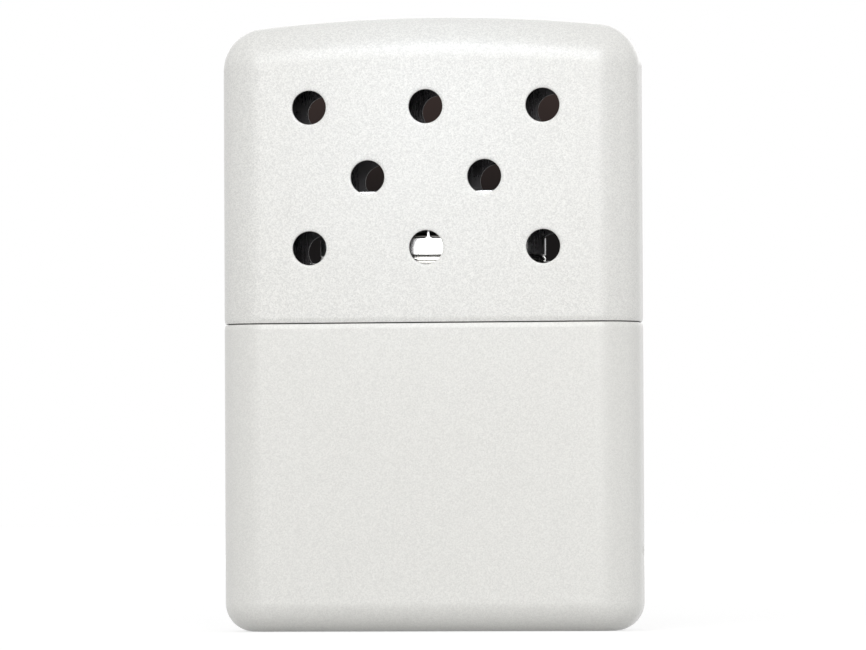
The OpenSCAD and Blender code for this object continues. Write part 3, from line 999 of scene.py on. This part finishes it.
def woven(name, node, mat):
    """A gauze of crossing wires inside a CAD node's box, held in a folded rim."""
    low, high = (Vector(v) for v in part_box(node))
    w, d, h = high - low
    middle = (low + high) / 2
    bm = bmesh.new()
    spine, round_r = (w - d) / 2, d / 2 - GAUZE_RIM / 2

    def reach_y(x):
        over = max(0.0, abs(x) - spine)
        return math.sqrt(max(0.0, round_r ** 2 - over ** 2))

    def reach_x(y):
        return spine + math.sqrt(max(0.0, round_r ** 2 - y * y))

    def wire(fixed, reach, lengthwise, parity):
        steps = max(4, round(2 * reach / GAUZE_PITCH * GAUZE_POINTS))
        points = []
        for k in range(steps + 1):
            s = -reach + 2 * reach * k / steps
            wave = GAUZE_WIRE_R * math.cos(math.pi * s / GAUZE_PITCH + math.pi * parity)
            place = (s, fixed, wave) if lengthwise else (fixed, s, wave)
            points.append(middle + Vector(place))
        tube(bm, points, GAUZE_WIRE_R, Vector((0, 1, 0)) if lengthwise else Vector((1, 0, 0)))

    across = int((w / 2 - GAUZE_RIM) / GAUZE_PITCH)
    for i in range(-across, across + 1):
        reach = reach_y(i * GAUZE_PITCH)
        if reach > GAUZE_PITCH:
            wire(i * GAUZE_PITCH, reach, False, i)
    along = int((d / 2 - GAUZE_RIM) / GAUZE_PITCH)
    for j in range(-along, along + 1):
        wire(j * GAUZE_PITCH, reach_x(j * GAUZE_PITCH), True, j + 1)
    rings = []
    for x, y, n in outline_points(w, d, d / 2 - LEAST_FLAT * MM, GAUZE_RIM_STEP):
        centre = middle + Vector((x, y, 0)) - n * (GAUZE_RIM / 2)
        ring = []
        for k in range(GAUZE_RIM_SIDES):
            a = 2 * math.pi * k / GAUZE_RIM_SIDES
            flatter = 0.7 * math.copysign(abs(math.cos(a)) ** 0.6, math.cos(a)) + 0.3 * math.cos(a)
            rise = Vector((0, 0, math.sin(a) * h / 2))
            ring.append(bm.verts.new(centre + n * (flatter * GAUZE_RIM / 2) + rise))
        rings.append(ring)
    for a, b in zip(rings, rings[1:] + rings[:1]):
        bridge(bm, a, b)
    outward(bm)
    return smooth(object_of(name, bm, mat))


def stand_in(obj, node, body):
    """obj stands in for a CAD node and moves with its body."""
    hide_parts(node)
    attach(obj, body)
    return obj


# ---------------------------------------------------------------- the stage

def white_to_eye(n):
    """1 for the rays that show the backdrop: those of the camera and of mirror-like surfaces."""
    ray = n.add("ShaderNodeLightPath")
    mirrored = n.math("ADD", ray.outputs["Is Glossy Ray"], ray.outputs["Is Transmission Ray"])
    return n.math("ADD", ray.outputs["Is Camera Ray"], mirrored, clamp=True)


def make_floor():
    """A plain pale floor that keeps the object's shadow and shows white to the camera."""
    bm = bmesh.new()
    edge = ((-1, -1), (1, -1), (1, 1), (-1, 1))
    bm.faces.new([bm.verts.new((x * FLOOR_REACH, y * FLOOR_REACH, 0.0)) for x, y in edge])
    mat = bpy.data.materials.new("floor_white")
    mat.use_nodes = True
    n = Nodes(mat.node_tree)
    out = n.add("ShaderNodeOutputMaterial")
    matt = n.add("ShaderNodeBsdfDiffuse")
    matt.inputs["Color"].default_value = (FLOOR_GREY, FLOOR_GREY, FLOOR_GREY, 1)
    glow = n.add("ShaderNodeEmission")
    away = n.vector("LENGTH", n.add("ShaderNodeTexCoord").outputs["Object"])
    level = n.ramp(away, FLOOR_POOL_IN, FLOOR_POOL_OUT, FLOOR_GLOW_NEAR, FLOOR_GLOW_FAR)
    n.put(glow.inputs["Strength"], n.math("MULTIPLY", white_to_eye(n), level))
    both = n.add("ShaderNodeAddShader")
    n.put(both.inputs[0], matt.outputs[0])
    n.put(both.inputs[1], glow.outputs[0])
    n.put(out.inputs["Surface"], both.outputs[0])
    object_of("floor", bm, mat)


def make_card():
    """A small dark card far behind the object, aligned with the photograph's camera.

    At rest the lid hides it there but for the vents. Where the lid is lifted it shows.
    """
    place = bpy.context.scene.camera.matrix_world
    eye = place.translation
    heading = Vector((-math.sin(CAM_YAW), math.cos(CAM_YAW), 0.0))
    side = Vector((heading.y, -heading.x, 0.0))
    bm = bmesh.new()
    corners = []
    for a, e in ((-1, 0), (1, 0), (1, 1), (-1, 1)):
        out = heading + side * (a * CARD_HALF_W) + Vector((0, 0, CARD_LOW + (CARD_HIGH - CARD_LOW) * e))
        corners.append(bm.verts.new(eye + out * CARD_DISTANCE))
    bm.faces.new(corners)
    mat, n, shader, where = new_material("card_brown")
    # The card's colour goes from near black low down to dark brown higher up.
    split = n.add("ShaderNodeSeparateXYZ")
    n.put(split.inputs[0], where)
    cloudy = n.math("MULTIPLY_ADD", n.noise(where, 18.0, 3.0).outputs["Fac"], 0.06, split.outputs["Z"])
    rise = n.ramp(cloudy, CARD_DARK_Z, CARD_BROWN_Z)
    n.put(shader.inputs["Base Color"], n.mix(rise, (0.02, 0.018, 0.018, 1), (0.078, 0.055, 0.05, 1)))
    shader.inputs["Roughness"].default_value = 1.0
    shader.inputs["Specular IOR Level"].default_value = 0.0
    card = object_of("see_through_card", bm, mat)
    # Painted dark: a sheet that only the camera sees, standing in for the darkness seen through the
    # vents; it gives no bounce light, shadow or reflection.
    card.visible_diffuse = False
    card.visible_glossy = False
    card.visible_shadow = False


def make_world():
    """Even light from all round, which the camera sees as a white backdrop."""
    world = bpy.data.worlds.new("studio")
    bpy.context.scene.world = world
    world.use_nodes = True
    n = Nodes(world.node_tree)
    out = n.add("ShaderNodeOutputWorld")
    backdrop = n.add("ShaderNodeBackground")
    backdrop.inputs["Color"].default_value = (1, 1, 1, 1)
    n.put(backdrop.inputs["Strength"], n.math("MULTIPLY_ADD", white_to_eye(n), 1.0 - AMBIENT, AMBIENT))
    n.put(out.inputs["Surface"], backdrop.outputs[0])


def hang(name, data, azimuth, elevation, distance, aim_z):
    """Hangs a lamp aimed at height aim_z, which sees it at azimuth, right of the front, and elevation."""
    a, e = math.radians(azimuth), math.radians(elevation)
    back = Vector((math.sin(a) * math.cos(e), -math.cos(a) * math.cos(e), math.sin(e)))
    lamp = bpy.data.objects.new(name, data)
    lamp.location = Vector((0, 0, aim_z)) + back * distance
    lamp.rotation_mode = "QUATERNION"
    lamp.rotation_quaternion = back.to_track_quat("Z", "Y")
    bpy.context.scene.collection.objects.link(lamp)
    return lamp


def softbox(name, azimuth, elevation, distance, width, height, radiance):
    """A soft panel, hidden from the camera."""
    data = bpy.data.lights.new(name, "AREA")
    data.shape = "RECTANGLE"
    data.size, data.size_y = width, height
    data.energy = radiance * math.pi * width * height
    hang(name, data, azimuth, elevation, distance, LAMP_AIM_Z).visible_camera = False


def soft_spot(name, azimuth, elevation, distance, aim_z, reach, radius, light):
    """A lamp in a tube, whose light fades out at reach from where it aims."""
    data = bpy.data.lights.new(name, "SPOT")
    data.spot_size = 2 * math.atan(reach / distance)
    data.spot_blend = 1.0
    data.shadow_soft_size = radius
    data.color = GLOW_COLOUR
    data.energy = light * 4 * math.pi ** 2 * distance ** 2
    hang(name, data, azimuth, elevation, distance, aim_z)


def make_camera():
    ce, se = math.cos(CAM_ELEVATION), math.sin(CAM_ELEVATION)
    back = Vector((math.sin(CAM_YAW) * ce, -math.cos(CAM_YAW) * ce, se))
    right = Vector((math.cos(CAM_YAW), math.sin(CAM_YAW), 0.0))
    up = back.cross(right)
    x = right * math.cos(CAM_ROLL) + up * math.sin(CAM_ROLL)
    y = up * math.cos(CAM_ROLL) - right * math.sin(CAM_ROLL)
    data = bpy.data.cameras.new("camera")
    data.sensor_width = SENSOR_W
    data.lens = CAM_LENS
    data.clip_start = CLIP_NEAR
    data.clip_end = CLIP_FAR
    cam = bpy.data.objects.new("camera", data)
    place = Matrix((x, y, back)).transposed().to_4x4()
    place.translation = CAM_TARGET + right * CAM_RIGHT + up * CAM_UP + back * CAM_DISTANCE
    cam.matrix_world = place
    bpy.context.scene.collection.objects.link(cam)
    bpy.context.scene.camera = cam


# ---------------------------------------------------------------- build

make_camera()
make_floor()
make_card()
make_world()
for lamp_values in LAMPS:
    softbox(*lamp_values)
soft_spot(*GLOW)

# Two copies of one pearl paint, tuned to how the light falls on each half: the lid's is a little darker
# and has more painted flake glint.
paint_lid = pearl_paint("paint_lid", (0.814, 0.809, 0.780), 0.2)
paint_tank = pearl_paint("paint_tank", (0.82, 0.815, 0.784), 0.11)
# Painted shade: the plating inside the cases is made very dark, for the shade inside the closed lid.
shaded_plating = plated("plated_inside_painted_shade", (0.17, 0.166, 0.172), 0.14, 0.45)
# Painted shade: the vents' walls and inner rolls are near black, so no lit rim shows round the holes.
cut = fibrous("vent_throat_painted_shade", (0.012, 0.012, 0.013, 1), (0.03, 0.029, 0.03, 1), 6000.0, 0.003 * MM, 0.7, 0.0)
bright = plated("plated_bright", (0.84, 0.84, 0.84), 0.12, 0.4)
neck = plated("plated_neck", (0.70, 0.69, 0.67), 0.08, 0.25)
# The collar takes the band of painted shade at the seam between the case halves.
collar = plated("plated_collar", (0.66, 0.655, 0.64), 0.1, 0.3, seam=(TANK_HIGH + LID_LOW) / 2)
wire = plated("gauze_wire", (0.42, 0.40, 0.38), 0.3, 0.5)
fibre = fibrous("catalyst_fibre", (0.03, 0.028, 0.028, 1), (0.20, 0.19, 0.18, 1), 9000.0, 0.06 * MM)
felt = fibrous("felt_pad", (0.50, 0.44, 0.34, 1), (0.78, 0.72, 0.60, 1), 7000.0, 0.05 * MM)
cotton = fibrous("cotton_batt", (0.70, 0.67, 0.60, 1), (0.92, 0.90, 0.85, 1), 3000.0, 0.12 * MM)

stand_in(make_lid(paint_lid, shaded_plating, cut), "lid_shell", "lid")
stand_in(make_tank(paint_tank, shaded_plating), "tank_shell", "tank")

stand_in(make_collar(collar), "tank_collar", "tank")
stand_in(make_neck(neck), "fill_neck", "tank")
stand_in(make_burner(bright), "burner_frame", "burner")
stand_in(make_retainer(bright), "burner_retainer", "burner")

stand_in(woven("gauze_weave_lower", "gauze_lower", wire), "gauze_lower", "burner")
stand_in(woven("gauze_weave_upper", "gauze_upper", wire), "gauze_upper", "burner")

for k, (node, name, mat, body, slot, fill, batt_values, strand_values) in enumerate((
    ("catalyst_mat", "catalyst_fibres", fibre, "burner", "catalyst_fibre", 0.7, MAT_BATT, MAT_STRANDS),
    ("wick_felt", "felt_pad", felt, "tank", "felt", 1.0, FELT_BATT, FELT_STRANDS),
    ("cotton_lower", "cotton_batt_lower", cotton, "tank", "cotton", 0.6, COTTON_BATT, COTTON_STRANDS),
    ("cotton_upper", "cotton_batt_upper", cotton, "tank", "cotton", 0.6, COTTON_BATT, COTTON_STRANDS),
)):
    count, length, radius, lift = strand_values
    soft = Batt(node, *(v * MM for v in batt_values), BATT_SEEDS[k])
    soft = soft.build(name, mat, count, length * MM, radius * MM, SEED + k, lift * MM)
    stand_in(soft, node, body)

bpy.context.scene.view_settings.view_transform = "Standard"
